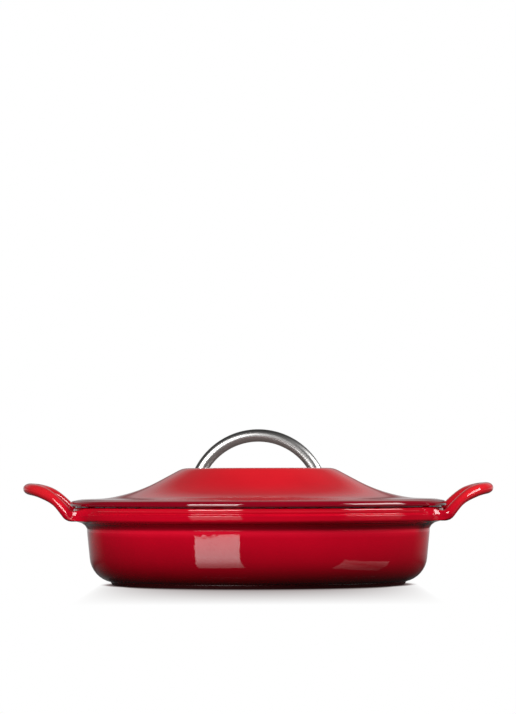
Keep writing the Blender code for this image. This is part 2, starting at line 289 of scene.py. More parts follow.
# Floor: the dark table in the gloss, which turns white far away
WHITE = (1, 1, 1, 1)
FLOOR_R = 8
FLOOR_STEPS = 96
FLOOR_SCALE = 8
FLOOR_ROUGHNESS = (0.03, 0.06)
TABLE_R = 0.5
TABLE_COLOUR = (0.03, 0.03, 0.03, 1)
TABLE_LEFT_X = 0.0
TABLE_RIGHT_X = 0.12
TABLE_LEFT_GLOSS = 0.5
TABLE_RIGHT_GLOSS = 0.017

# Painted shadow on the floor: close to the pan by the share of open sky, and a soft painted shade in front
# of it, placed by position
SHADOW_SAMPLES = 16
SHADOW_REACH = 0.04
SHADOW_SIDE_REACH = 0.006
SHADOW_WIDE_X = 0.05
SHADOW_SIDE_X = 0.105
SHADOW_TONES = [
    (0.0, (0.02, 0.012, 0.012)),
    (0.3, (0.30, 0.24, 0.24)),
    (0.6, (0.80, 0.78, 0.78)),
    (0.9, (1, 1, 1)),
]
SHADE_NEAR_Y = -0.10
SHADE_FAR_Y = -0.44
SHADE_HALF_WIDTH = 0.127
SHADE_POWER = 0.7
SHADE_LEVEL = 0.73
SHADE_COLOUR = (0.06, 0.0, 0.0, 1)

# Room in the gloss: a pale backdrop behind the pan, by the sine of the elevation, and the dark rest
BACKDROP_TONES = [
    (0.000, 0.50),
    (0.030, 0.50),
    (0.080, 0.42),
    (0.110, 0.25),
    (0.145, 0.12),
    (0.200, 0.40),
    (0.300, 0.40),
    (0.500, 0.12),
    (0.800, 0.03),
]
BACKDROP_SIDE_COSINE = 0.62
BACKDROP_FULL_COSINE = 0.98
ROOM_TONE = (0.03, 0.03, 0.03, 1)
FILL_LEVEL = 0.12

# Lamps, aimed at the middle of the pan. Azimuth 0 is the camera's side, and level is the brightness
PAN_MIDDLE_Z = 55 * MM
LAMP_DISTANCE = 1.6
LAMPS = {
    "left_softbox": {
        "azimuth": radians(-26.8), "elevation": radians(20), "width": 0.855, "height": 0.72, "level": 14},
    "right_softbox": {
        "azimuth": radians(78), "elevation": radians(23), "width": 1.165, "height": 0.68, "level": 11},
}

# Camera: level with the lid, far back, as the photograph shows the pan
CAMERA_PLACE = (0.00008, -2.72, 0.085)
FOCAL_PX = 3400
IMAGE_LONG_PX = 714
HORIZON_PX = 478
SENSOR = 36
CLIP_START = 0.01
CAMERA_PITCH = atan((HORIZON_PX - IMAGE_LONG_PX / 2) / FOCAL_PX)
CAMERA_ROLL = radians(0.16)


def smooth_rise(value, start, end):
    """Ease from 0 at start to 1 at end."""
    share = min(max((value - start) / (end - start), 0), 1)
    return share * share * (3 - 2 * share)


def signed_power(value, power):
    """Power of the size of a value, with its sign kept."""
    return abs(value) ** power * (1 if value > 0 else -1)


# Paths of (r, z) points

def corner_turn(before, corner, after):
    """Signed angle through which a path turns at a corner."""
    arrive = atan2(corner[1] - before[1], corner[0] - before[0])
    leave = atan2(after[1] - corner[1], after[0] - corner[0])
    return (leave - arrive + pi) % (2 * pi) - pi


def fillet_arc(before, here, after, fillet):
    """Points of the arc that rounds one corner of a path."""
    turn = corner_turn(before, here, after)
    reach = fillet * tan(abs(turn) / 2)
    arrive = (here - before).normalized()
    side = Vector((-arrive.y, arrive.x)) * (1 if turn > 0 else -1)
    centre = here - arrive * reach + side * fillet
    count = max(3, ceil(abs(turn) / ARC_STEP), ceil(abs(turn) * fillet / ROW_LENGTH))
    angles = [abs(turn) * part / count for part in range(count + 1)]
    return [centre + arrive * fillet * sin(angle) - side * fillet * cos(angle) for angle in angles]


def rounded(corners):
    """Points of a path of (r, z, fillet) corners, with arcs at the fillets and long runs divided."""
    outline = []
    for index, (r, z, fillet) in enumerate(corners):
        here = Vector((r, z))
        if fillet == 0:
            outline.append(here)
            continue
        before = Vector(corners[index - 1][:2])
        after = Vector(corners[index + 1][:2])
        outline += fillet_arc(before, here, after, fillet)
    points = outline[:1]
    for point in outline[1:]:
        start = points[-1]
        count = max(1, ceil((point - start).length / ROW_LENGTH - ROW_SLACK))
        points += [start.lerp(point, part / count) for part in range(1, count + 1)]
    return points


def offset(corners, distance):
    """The inner corners of a path, moved to the right of its direction of travel."""
    moved = []
    for before, corner, after in zip(corners, corners[1:], corners[2:]):
        turn = corner_turn(before, corner, after)
        heading = atan2(corner[1] - before[1], corner[0] - before[0]) + turn / 2
        length = distance / cos(turn / 2)
        fillet = corner[2] + distance * (1 if turn > 0 else -1)
        moved.append((corner[0] + length * sin(heading), corner[1] - length * cos(heading), fillet))
    return moved


# Meshes from rows of vertices

def turned_rows(points, verts):
    """Rows of vertex numbers for a path turned about Z. A point on the axis is one vertex."""
    rows = []
    for r, z in points:
        first = len(verts)
        if r < AXIS_R:
            verts.append(Vector((0, 0, z)))
            rows.append([first] * TURN_STEPS)
            continue
        for step in range(TURN_STEPS):
            angle = 2 * pi * step / TURN_STEPS
            verts.append(Vector((r * cos(angle), r * sin(angle), z)))
        rows.append(list(range(first, first + TURN_STEPS)))
    return rows


def skin(rows, left_out=frozenset()):
    """Faces between rows of vertex numbers that each go right round."""
    faces = []
    for index, (row, following) in enumerate(zip(rows, rows[1:])):
        for step in range(len(row)):
            if (index, step) in left_out:
                continue
            corners = (row[step - 1], row[step], following[step], following[step - 1])
            faces.append(tuple(dict.fromkeys(corners)))
    return faces


def add_rows(sections, verts):
    """Append sections of points to a list of vertices, and return their numbers."""
    rows = []
    for section in sections:
        rows.append(list(range(len(verts), len(verts) + len(section))))
        verts += section
    return rows


def new_piece(name, verts, faces):
    """Add a smooth-shaded object for vertices and faces, with its faces pointing out."""
    mesh = bpy.data.meshes.new(name)
    mesh.from_pydata(verts, [], faces)
    bm = bmesh.new()
    bm.from_mesh(mesh)
    bmesh.ops.recalc_face_normals(bm, faces=bm.faces)
    bm.to_mesh(mesh)
    bm.free()
    mesh.shade_smooth()
    item = bpy.data.objects.new(name, mesh)
    bpy.context.scene.collection.objects.link(item)
    return item


def fair(verts, faces, free, skipped):
    """Move free vertices to the shape of an evenly bent plate, tangent to the surface round them."""
    columns = {number: column for column, number in enumerate(free)}
    near = {number for face in faces if not columns.keys().isdisjoint(face) for number in face}
    links = {number: set() for number in near}
    for face in faces:
        if not near.isdisjoint(face):
            for first, second in zip(face, face[1:] + face[:1]):
                links.setdefault(first, set()).add(second)
                links.setdefault(second, set()).add(first)
    matrix = numpy.zeros((len(columns), len(columns)))
    target = numpy.zeros((len(columns), 3))
    for number in near - set(skipped):
        moving = {columns[number]: 1.0} if number in columns else {}
        fixed = Vector() if number in columns else verts[number].copy()
        for other in links[number]:
            if other in columns:
                moving[columns[other]] = -1 / len(links[number])
            else:
                fixed -= verts[other] / len(links[number])
        for row, weight in moving.items():
            target[row] -= weight * numpy.array(fixed)
            for column, other_weight in moving.items():
                matrix[row, column] += weight * other_weight
    places = numpy.linalg.solve(matrix, target)
    for number, column in columns.items():
        verts[number] = Vector(places[column])


def dress(item, body, material, nodes):
    """Give a piece its finish and its body, and let it stand for CAD nodes."""
    item.data.materials.append(material)
    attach(item, body)
    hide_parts(*nodes)


# Pan

def wall_radius(z):
    """Outer radius of the drafted wall at a height."""
    return BELLY_R + (WALL_TOP_R - BELLY_R) * (z - BELLY_Z) / (WALL_TOP_Z - BELLY_Z)


def pan_corners():
    """Section of the pan: under the foot, up the outside, over the rim and down inside."""
    return [
        (0, RECESS_H, 0),
        (RECESS_R, RECESS_H, 0),
        (RECESS_R + RECESS_H, 0, 0),
        (BASE_R, 0, FOOT_EDGE),
        (FOOT_R, FOOT_H, FOOT_EDGE),
        (BELLY_R, BELLY_Z, BELLY_FILLET),
        (WALL_TOP_R, WALL_TOP_Z, WALL_TOP_FILLET),
        (NECK_R, NECK_Z, NECK_FILLET),
        (COVE_R, COVE_Z, COVE_FILLET),
        (UNDER_R, UNDER_Z, UNDER_FILLET),
        (ROOT_UNDER_R, ROOT_UNDER_Z, 0),
        (BAND_LOW_R, BAND_LOW_Z, BAND_LOW_FILLET),
        (BAND_R, STEP_Z, STEP_FILLET),
        (GROOVE_R, GROOVE_Z, GROOVE_FILLET),
        (LIP_R, LIP_LOW_Z, LIP_LOW_FILLET),
        (LIP_R, RIM_Z, LIP_FILLET),
        (MOUTH_R, RIM_Z, MOUTH_FILLET),
        (MOUTH_R, FLARE_TOP_Z, FLARE_FILLET),
        (wall_radius(FLARE_LOW_Z) - WALL_T, FLARE_LOW_Z, FLARE_FILLET),
        (wall_radius(FLOOR_Z) - WALL_T, FLOOR_Z, FLOOR_FILLET),
        (0, FLOOR_Z, 0),
    ]


def loop_height(x):
    """Height of the middle of the bar: level, a tight bend up, a slope and a wide bend over to level."""
    climb = atan2(LOOP_HIGH_Z - LOOP_LOW_Z, LOOP_CREST_X - LOOP_BEND_X)
    bend_start = LOOP_BEND_X - LOOP_BEND_R * tan(climb / 2)
    crest_end = LOOP_CREST_X + LOOP_CREST_R * tan(climb / 2)
    if x <= bend_start:
        return LOOP_LOW_Z
    if x >= crest_end:
        return LOOP_HIGH_Z
    if x <= bend_start + LOOP_BEND_R * sin(climb):
        return LOOP_LOW_Z + LOOP_BEND_R - sqrt(LOOP_BEND_R ** 2 - (x - bend_start) ** 2)
    if x >= crest_end - LOOP_CREST_R * sin(climb):
        return LOOP_HIGH_Z - LOOP_CREST_R + sqrt(LOOP_CREST_R ** 2 - (crest_end - x) ** 2)
    return LOOP_LOW_Z + (x - LOOP_BEND_X) * tan(climb)


def loop_thickness(x):
    """The bar is a little slimmer halfway up its slope."""
    waist_x = (LOOP_BEND_X + LOOP_CREST_X) / 2
    waist = 1 - smooth_rise(abs(x - waist_x), 0, LOOP_WAIST_REACH)
    return LOOP_BAR_T - (LOOP_BAR_T - LOOP_WAIST_T) * waist


def loop_middle(share):
    """Point on the middle of the bar, from one root (0) round the tip to the other root (1)."""
    angle = pi / 2 - pi * smooth_rise(share, 0, 1)
    x = LOOP_ROOT_X + LOOP_REACH * abs(cos(angle)) ** (2 / LOOP_POWER)
    y = LOOP_HALF_WIDTH * signed_power(sin(angle), 2 / LOOP_POWER)
    return Vector((x, y, loop_height(x)))


def loop_run(share):
    """Direction of the bar, and the direction across its thickness."""
    nudge = 0.001
    middle = loop_middle(share)
    along = (loop_middle(min(share + nudge, 1)) - loop_middle(max(share - nudge, 0))).normalized()
    slope = (loop_height(middle.x + nudge * MM) - loop_height(middle.x)) / (nudge * MM)
    return along, Vector((-slope, 0, 1)).normalized()


def bar_outline(half_width, half_thickness, flat_count, upright_count):
    """Section of the bar: along the bottom from inside the loop, up the outside and back over the top."""
    outline = []
    for side, count in enumerate((flat_count, upright_count, flat_count, upright_count)):
        for step in range(count):
            angle = -pi / 4 - pi / 2 * (side + step / count)
            u = half_width * signed_power(cos(angle), 2 / LOOP_BAR_POWER)
            v = half_thickness * signed_power(sin(angle), 2 / LOOP_BAR_POWER)
            outline.append((u, v))
    return outline


def loop_section(share, flat_count, upright_count):
    """Points of one section of the bar, square to its run."""
    middle = loop_middle(share)
    along, up = loop_run(share)
    side = along.cross(up).normalized()
    outline = bar_outline(LOOP_BAR_WIDTH / 2, loop_thickness(middle.x) / 2, flat_count, upright_count)
    return [middle + side * u + up * v for u, v in outline]


def root_share():
    """Share of the loop at which its first free section stands."""
    low, high = 0, 0.5
    for _ in range(ROOT_HALVINGS):
        share = (low + high) / 2
        if loop_middle(share).x < ROOT_BAR_X:
            low = share
        else:
            high = share
    return low


def root_border(rows, first, last, inner, outer):
    """Vertex numbers round the opening of a root, in the order of a bar's section."""
    step = 1 if outer > inner else -1
    border = [rows[first][column % TURN_STEPS] for column in range(inner, outer, step)]
    border += [row[outer % TURN_STEPS] for row in rows[first:last]]
    border += [rows[last][column % TURN_STEPS] for column in range(outer, inner, -step)]
    border += [row[inner % TURN_STEPS] for row in rows[last:first:-1]]
    return border


def root_rows(border, section, verts):
    """Rows of the skin from the rim to the first section of a bar, straight until they are faired."""
    pairs = [(verts[number], end) for number, end in zip(border, section)]
    return [[start.lerp(end, row / ROOT_ROWS) for start, end in pairs] for row in range(1, ROOT_ROWS)]


def fade_groove(points, rows, verts):
    """Fill the groove between band and lip where the rim runs into a root."""
    low_z = STEP_Z - STEP_FILLET
    high_z = RIM_Z - LIP_FILLET
    for (r, z), row in zip(points, rows):
        if r > MOUTH_R + LIP_FILLET and low_z < z < high_z:
            plain = BAND_R + (LIP_R - BAND_R) * (z - low_z) / (high_z - low_z)
            for column, number in enumerate(row):
                near = min(column % (TURN_STEPS // 2), -column % (TURN_STEPS // 2))
                away = max(ROOT_INNER_COLUMN - near, near - ROOT_OUTER_COLUMN, 0)
                wanted = r + (plain - r) * (1 - smooth_rise(away, 0, GROOVE_FADE_COLUMNS))
                verts[number] = Vector((verts[number].x * wanted / r, verts[number].y * wanted / r, z))


def add_loop(rows, first, last, half_turn, verts):
    """Faces of one loop handle: its bar, and a skin from each end of the bar into the rim."""
    flat_count = ROOT_OUTER_COLUMN - ROOT_INNER_COLUMN
    upright_count = last - first
    start = root_share()
    shares = [start + (1 - 2 * start) * step / LOOP_SECTIONS for step in range(LOOP_SECTIONS + 1)]
    turn = Matrix.Rotation(pi * half_turn, 3, "Z")
    sections = []
    for share in shares:
        sections.append([turn @ point for point in loop_section(share, flat_count, upright_count)])
    bar = add_rows(sections, verts)
    faces = skin(bar)
    free = []
    corners = []
    shift = half_turn * TURN_STEPS // 2
    for mirror, end in ((1, 0), (-1, -1)):
        inner = shift + mirror * ROOT_INNER_COLUMN
        outer = shift + mirror * ROOT_OUTER_COLUMN
        border = root_border(rows, first, last, inner, outer)
        blend = add_rows(root_rows(border, sections[end], verts), verts)
        faces += skin([border] + blend + [bar[end]])
        free.append([number for row in blend for number in row])
        corners += [border[0], border[flat_count]]
        corners += [border[flat_count + upright_count], border[2 * flat_count + upright_count]]
    return faces, free, corners


def first_row(points, test):
    """Number of the first row of a path whose point passes a test."""
    return next(index for index, point in enumerate(points) if test(point))


def make_pan():
    points = rounded(pan_corners())
    verts = []
    rows = turned_rows(points, verts)
    first = first_row(points, lambda point: point.x > ROOT_UNDER_R - AXIS_R)
    last = first_row(points, lambda point: point.y > ROOT_TOP_Z)
    fade_groove(points, rows, verts)
    opening = set()
    faces = []
    blends = []
    corners = []
    for half_turn in (0, 1):
        shift = half_turn * TURN_STEPS // 2
        for low, high in ((ROOT_INNER_COLUMN, ROOT_OUTER_COLUMN), (-ROOT_OUTER_COLUMN, -ROOT_INNER_COLUMN)):
            for column in range(low + 1, high + 1):
                opening |= {(row, (shift + column) % TURN_STEPS) for row in range(first, last)}
        loop_faces, loop_blends, loop_corners = add_loop(rows, first, last, half_turn, verts)
        faces += loop_faces
        blends += loop_blends
        corners += loop_corners
    faces += skin(rows, opening)
    for blend in blends:
        fair(verts, faces, blend, corners)
    pan = new_piece("pan_casting", verts, faces)
    mouth = last + first_row(points[last:], lambda point: point.x < (LIP_R + MOUTH_R) / 2)
    mark_inside(pan, {number for row in rows[mouth:] for number in row})
    return pan


def mark_inside(item, numbers):
    """Note on each vertex whether it is on the dark inside."""
    layer = item.data.attributes.new("inside", "FLOAT", "POINT")
    for number in numbers:
        layer.data[number].value = 1


# Lid

def lid_corners():
    """Section of the lid: out along the top, round the edge and back along the underside."""
    top = [
        (0, LID_TOP_Z, 0),
        (SHOULDER_R, LID_TOP_Z, SHOULDER_FILLET),
        (SLOPE_R, SLOPE_Z, SLOPE_FILLET),
        (FLANGE_R, FLANGE_TOP_Z, FLANGE_FILLET),
        (FLANGE_OUT_R, FLANGE_OUT_Z, FLANGE_OUT_FILLET),
        (LID_R, LID_EDGE_TOP_Z, LID_EDGE_FILLET),
    ]
    edge = [
        (LID_R, LID_EDGE_LOW_Z, LID_EDGE_LOW_FILLET),
        (SEAT_OUT_R, LID_EDGE_LOW_Z, 0),
        (SEAT_OUT_R, SEAT_Z, 0),
        (RING_OUT_R, SEAT_Z, 0),
        (RING_OUT_R - RING_TAPER, RING_LOW_Z, RING_FILLET),
        (RING_IN_R + RING_TAPER, RING_LOW_Z, RING_FILLET),
        (RING_IN_R, FLANGE_TOP_Z - LID_T, 0),
    ]
    underside = list(reversed(offset(top[:-1], LID_T)))
    return top + edge + underside + [(0, LID_TOP_Z - LID_T, 0)]


def make_lid():
    points = rounded(lid_corners())
    verts = []
    rows = turned_rows(points, verts)
    seat = first_row(points, lambda point: point.y <= LID_EDGE_LOW_Z and point.x <= SEAT_OUT_R)
    inside = {number for row in rows[seat:] for number in row}
    for number in inside:
        point = verts[number]
        if point.z > LID_TOP_Z - 2 * LID_T:
            away = Vector((abs(point.x) - SCREW_X, point.y)).length
            point.z -= BOSS_H * (1 - smooth_rise(away, BOSS_R - BOSS_BLEND / 2, BOSS_R + BOSS_BLEND / 2))
    lid = new_piece("lid_casting", verts, skin(rows))
    mark_inside(lid, inside)
    drill(lid)
    return lid


# Arch handle

def arch_section(share):
    """Round section of the rod. The two ends are cut level, on the lid."""
    start = atan2(FOOT_Z - ARCH_CENTRE_Z, sqrt(ARCH_R ** 2 - (FOOT_Z - ARCH_CENTRE_Z) ** 2))
    angle = start + (pi - 2 * start) * share
    out = Vector((cos(angle), 0, sin(angle)))
    along = Vector((-sin(angle), 0, cos(angle)))
    middle = Vector((0, 0, ARCH_CENTRE_Z)) + out * ARCH_R
    points = []
    for step in range(ROD_STEPS):
        turn = 2 * pi * step / ROD_STEPS
        point = middle + out * ROD_R * cos(turn) + Vector((0, ROD_R * sin(turn), 0))
        if point.z < FOOT_Z or share in (0, 1):
            point += along * (FOOT_Z - point.z) / along.z
        points.append(point)
    return points


def make_arch():
    verts = []
    rows = add_rows([arch_section(step / ARCH_STEPS) for step in range(ARCH_STEPS + 1)], verts)
    faces = skin(rows) + [tuple(rows[0]), tuple(rows[-1])]
    arch = new_piece("arch_rod", verts, faces)
    mark_grain(arch, rows)
    drill(arch)
    return arch


def mark_grain(item, rows):
    """Note on each vertex of a rod where it is round and along it, stretched for lengthwise marks."""
    layer = item.data.attributes.new("grain", "FLOAT_VECTOR", "POINT")
    for along, row in enumerate(rows):
        for step, number in enumerate(row):
            turn = 2 * pi * step / len(row)
            place = (GRAIN_ROUND * cos(turn), GRAIN_ROUND * sin(turn), GRAIN_ALONG * along / len(rows))
            layer.data[number].vector = place


# Fasteners of the arch handle

def drill(item):
    """Cut the two screw holes through a piece."""
    for x in (-SCREW_X, SCREW_X):
        bm = bmesh.new()
        depth = HOLE_TOP_Z - HEAD_Z
        bmesh.ops.create_cone(
            bm, cap_ends=True, segments=FASTENER_STEPS, radius1=HOLE_R, radius2=HOLE_R, depth=depth)
        bmesh.ops.translate(bm, verts=bm.verts, vec=(x, 0, HEAD_Z + depth / 2))
        mesh = bpy.data.meshes.new("drill")
        bm.to_mesh(mesh)
        bm.free()
        tool = bpy.data.objects.new("drill", mesh)
        bpy.context.scene.collection.objects.link(tool)
        modifier = item.modifiers.new("drill", "BOOLEAN")
        modifier.operation = "DIFFERENCE"
        modifier.object = tool
        view = bpy.context.evaluated_depsgraph_get()
        cut = bpy.data.meshes.new_from_object(item.evaluated_get(view))
        item.modifiers.clear()
        item.data = cut
        bpy.data.objects.remove(tool)
    item.data.set_sharp_from_angle(angle=SHARP_ANGLE)


def circle(radius, z, x):
    """Points of a level circle of a fastener."""
    turns = [2 * pi * step / FASTENER_STEPS for step in range(FASTENER_STEPS)]
    return [Vector((x + radius * cos(turn), radius * sin(turn), z)) for turn in turns]


def ring_outline(inner, outer, low, high):
    """Closed (r, z) outline of a ring with rounded edges."""
    middle = (low + high) / 2
    corners = [(inner, middle, 0)]
    corners += [(r, z, RING_EDGE) for r, z in ((inner, low), (outer, low), (outer, high), (inner, high))]
    return rounded(corners + [(inner, middle, 0)])[:-1]


def make_ring(name, outer, low, thickness, x):
    verts = []
    outline = ring_outline(HOLE_R, outer, low, low + thickness)
    rows = add_rows([circle(r, z, x) for r, z in outline], verts)
    return new_piece(name, verts, skin(rows + rows[:1]))


def make_lock_washer(name, x):
    """A split ring that climbs a little from one end to the other."""
    verts = []
    sections = []
    for step in range(LOCK_STEPS + 1):
        share = step / LOCK_STEPS
        turn = LOCK_START + LOCK_TURN * share
        low = LOCK_Z + LOCK_RISE * share
        outline = ring_outline(HOLE_R, LOCK_R, low, low + LOCK_T)
        sections.append([Vector((x + r * cos(turn), r * sin(turn), z)) for r, z in outline])
    rows = add_rows(sections, verts)
    piece = new_piece(name, verts, skin(rows) + [tuple(rows[0]), tuple(rows[-1])])
    piece.data.set_sharp_from_angle(angle=SHARP_ANGLE)
    return piece


def hexagon(z, x):
    """Points of the socket's outline, as many as a circle has."""
    points = []
    for step in range(FASTENER_STEPS):
        turn = 2 * pi * step / FASTENER_STEPS
        radius = SOCKET_R * cos(pi / 6) / cos(turn % (pi / 3) - pi / 6)
        points.append(Vector((x + radius * cos(turn), radius * sin(turn), z)))
    return points


def thread_row(z, x):
    """Points of one row of a threaded shank, which is cut in a helix and chamfered at the tip."""
    points = []
    for step in range(FASTENER_STEPS):
        share = step / FASTENER_STEPS
        flank = abs((z / THREAD_PITCH - share) % 1 * 2 - 1)
        radius = min(SCREW_R - THREAD_DEPTH * flank, SCREW_R - TIP_CHAMFER + SCREW_TIP_Z - z)
        points.append(Vector((x + radius * cos(2 * pi * share), radius * sin(2 * pi * share), z)))
    return points


def make_screw(name, x):
    """A round-headed screw with a hexagon socket under its head and a thread up its shank."""
    head = rounded([
        (HEAD_R / 2, HEAD_Z, 0),
        (HEAD_R, HEAD_Z, HEAD_FILLET),
        (HEAD_R, HEAD_Z + HEAD_H, HEAD_EDGE),
        (SCREW_R, HEAD_Z + HEAD_H, 0),
    ])
    length = SCREW_TIP_Z - HEAD_Z - HEAD_H
    count = round(length / THREAD_PITCH * THREAD_ROWS)
    heights = [HEAD_Z + HEAD_H + length * step / count for step in range(1, count + 1)]
    verts = []
    sections = [hexagon(HEAD_Z + SOCKET_DEPTH, x), hexagon(HEAD_Z, x)]
    sections += [circle(r, z, x) for r, z in head]
    sections += [thread_row(z, x) for z in heights]
    rows = add_rows(sections, verts)
    screw = new_piece(name, verts, skin(rows) + [tuple(rows[0]), tuple(rows[-1])])
    screw.data.set_sharp_from_angle(angle=SCREW_SHARP_ANGLE)
    return screw


def make_fasteners():
    steel = steel_material("fastener_steel", SCREW_STEEL, SCREW_STEEL_ROUGHNESS, False)
    rubber = rubber_material()
    for side, x in (("left", -SCREW_X), ("right", SCREW_X)):
        gasket = make_ring(f"gasket_{side}", GASKET_R, GASKET_Z, GASKET_T, x)
        dress(gasket, "lid", rubber, [f"handle_gasket_{side}"])
        washer = make_ring(f"washer_{side}", WASHER_R, WASHER_Z, WASHER_T, x)
        dress(washer, "lid", steel, [f"handle_washer_{side}"])
        lock = make_lock_washer(f"lock_washer_{side}", x)
        dress(lock, "lid", steel, [f"handle_lock_washer_{side}"])
        screw = make_screw(f"screw_{side}", x)
        dress(screw, "lid", steel, [f"handle_screw_{side}"])


# Materials

def add_node(tree, kind, inputs=None, **settings):
    """Add a shader node. Each input is a value, or the output socket of another node."""
    node = tree.nodes.new(kind)
    for name, value in settings.items():
        setattr(node, name, value)
    for name, value in (inputs or {}).items():
        if isinstance(value, bpy.types.NodeSocket):
            tree.links.new(value, node.inputs[name])
        else:
            node.inputs[name].default_value = value
    return node


def new_material(name):
    """An empty material, and its tree and Principled shader."""
    material = bpy.data.materials.new(name)
    material.use_nodes = True
    return material, material.node_tree, material.node_tree.nodes["Principled BSDF"]


def map_range(tree, value, from_low, from_high, to_low, to_high):
    """Output of a clamped map from one range to another."""
    node = add_node(tree, "ShaderNodeMapRange", {
        "Value": value, "From Min": from_low, "From Max": from_high, "To Min": to_low, "To Max": to_high})
    return node.outputs["Result"]


def calc(tree, operation, first, second):
    """Output of a sum, product or other calculation."""
    node = add_node(tree, "ShaderNodeMath", {0: first, 1: second}, operation=operation)
    return node.outputs["Value"]


def noise(tree, place, scale, detail, roughness=0.5):
    """Output of a noise texture, about 0.5 on average."""
    node = add_node(tree, "ShaderNodeTexNoise", {
        "Vector": place, "Scale": scale, "Detail": detail, "Roughness": roughness})
    return node.outputs["Fac"]


def spread(tree, value, ends):
    """Output of a map of a noise's middle part to a range."""
    return map_range(tree, value, NOISE_LOW, NOISE_HIGH, *ends)


def mix_colour(tree, share, first, second, blend="MIX"):
    """Output of a mix of two colours."""
    node = add_node(tree, "ShaderNodeMix", {"Factor": share}, data_type="RGBA", blend_type=blend)
    for socket, value in ((node.inputs[6], first), (node.inputs[7], second)):
        if isinstance(value, bpy.types.NodeSocket):
            tree.links.new(value, socket)
        else:
            socket.default_value = value
    return node.outputs[2]


def tinted(tree, colour, tone):
    """Output of a colour times a tone."""
    return mix_colour(tree, 1.0, colour, tone, "MULTIPLY")


def ramp(tree, share, stops):
    """Output of a colour ramp with (place, linear colour) stops."""
    node = add_node(tree, "ShaderNodeValToRGB", {"Fac": share})
    elements = node.color_ramp.elements
    elements.remove(elements[-1])
    elements[0].position = stops[0][0]
    elements[0].color = (*stops[0][1], 1)
    for place, colour in stops[1:]:
        elements.new(place).color = (*colour, 1)
    return node.outputs["Color"]


def bump(tree, height, depth, **inputs):
    """Output of a bump with a depth in metres."""
    node = add_node(tree, "ShaderNodeBump", {
        "Height": height, "Distance": depth, "Strength": 1.0, **inputs})
    return node.outputs["Normal"]


def enamel_material(name, reds, reflection_z=None):
    """Vitreous enamel: red by height outside, with the painted shade and highlight that the pan's reds
    carry, satin black inside, with a faint orange peel in the gloss.

    Above the given height it shows a painted reflection, a grey colour in the gloss of other pieces, so
    that steel near it stays neutral.
    """
    material, tree, shader = new_material(name)
    place = add_node(tree, "ShaderNodeTexCoord").outputs["Object"]
    height = add_node(tree, "ShaderNodeSeparateXYZ", {"Vector": place}).outputs["Z"]
    # Reds by height; the pan's hold painted shade at the foot, in the cove and under the band, and a
    # painted highlight along the top of the wall
    low_z = reds[0][0]
    high_z = reds[-1][0]
    stops = [((z - low_z) / (high_z - low_z), colour) for z, colour in reds]
    red = ramp(tree, map_range(tree, height, low_z, high_z, 0, 1), stops)
    red = tinted(tree, red, spread(tree, noise(tree, place, MOTTLE_SCALE, FINE_DETAIL), MOTTLE_TONES))
    inside = add_node(tree, "ShaderNodeAttribute", attribute_name="inside").outputs["Fac"]
    border = noise(tree, place, BORDER_SCALE, COARSE_DETAIL)
    wobble = map_range(tree, border, 0, 1, -BORDER_WOBBLE, BORDER_WOBBLE)
    dark = map_range(tree, calc(tree, "ADD", inside, wobble), BORDER_LOW, BORDER_HIGH, 0, 1)
    specks = noise(tree, place, SPECKLE_SCALE, COARSE_DETAIL)
    black = tinted(tree, BLACK_ENAMEL, map_range(tree, specks, SPECKLE_LOW, SPECKLE_HIGH, *SPECKLE_TONES))
    colour = mix_colour(tree, dark, red, black)
    # Painted reflection: to glossy rays the top of the lid shows a grey colour
    if reflection_z is not None:
        glossy = add_node(tree, "ShaderNodeLightPath").outputs["Is Glossy Ray"]
        painted_reflection_share = calc(tree, "MULTIPLY", glossy, map_range(tree, height, reflection_z - PAINTED_REFLECTION_FADE, reflection_z, 0, 1))
        colour = mix_colour(tree, painted_reflection_share, colour, PAINTED_TOP_REFLECTION)
    tree.links.new(colour, shader.inputs["Base Color"])
    gloss = spread(tree, noise(tree, place, GLOSS_SCALE, FINE_DETAIL), GLOSS_ROUGHNESS)
    foot = map_range(tree, height, FOOT_H, FOOT_H + FOOT_FADE, FOOT_ROUGHNESS, 0)
    gloss = calc(tree, "MAXIMUM", gloss, foot)
    satin = spread(tree, noise(tree, place, SATIN_SCALE, FINE_DETAIL), SATIN_ROUGHNESS)
    rough = add_node(tree, "ShaderNodeMix", {"Factor": dark, "A": gloss, "B": satin})
    tree.links.new(rough.outputs["Result"], shader.inputs["Roughness"])
    peel = bump(tree, noise(tree, place, PEEL_SCALE, PEEL_DETAIL), PEEL_DEPTH)
    grit = calc(tree, "MULTIPLY", noise(tree, place, GRIT_SCALE, COARSE_DETAIL), dark)
    tree.links.new(bump(tree, grit, GRIT_DEPTH, Normal=peel), shader.inputs["Normal"])
    return material


def rubber_material():
    """Matt black rubber with a faint grain."""
    material, tree, shader = new_material("seal_rubber")
    place = add_node(tree, "ShaderNodeTexCoord").outputs["Object"]
    specks = noise(tree, place, RUBBER_SCALE, FINE_DETAIL)
    colour = tinted(tree, SEAL_RUBBER, spread(tree, specks, RUBBER_TONES))
    tree.links.new(colour, shader.inputs["Base Color"])
    tree.links.new(spread(tree, specks, RUBBER_ROUGHNESS), shader.inputs["Roughness"])
    tree.links.new(bump(tree, specks, RUBBER_DEPTH), shader.inputs["Normal"])
    return material


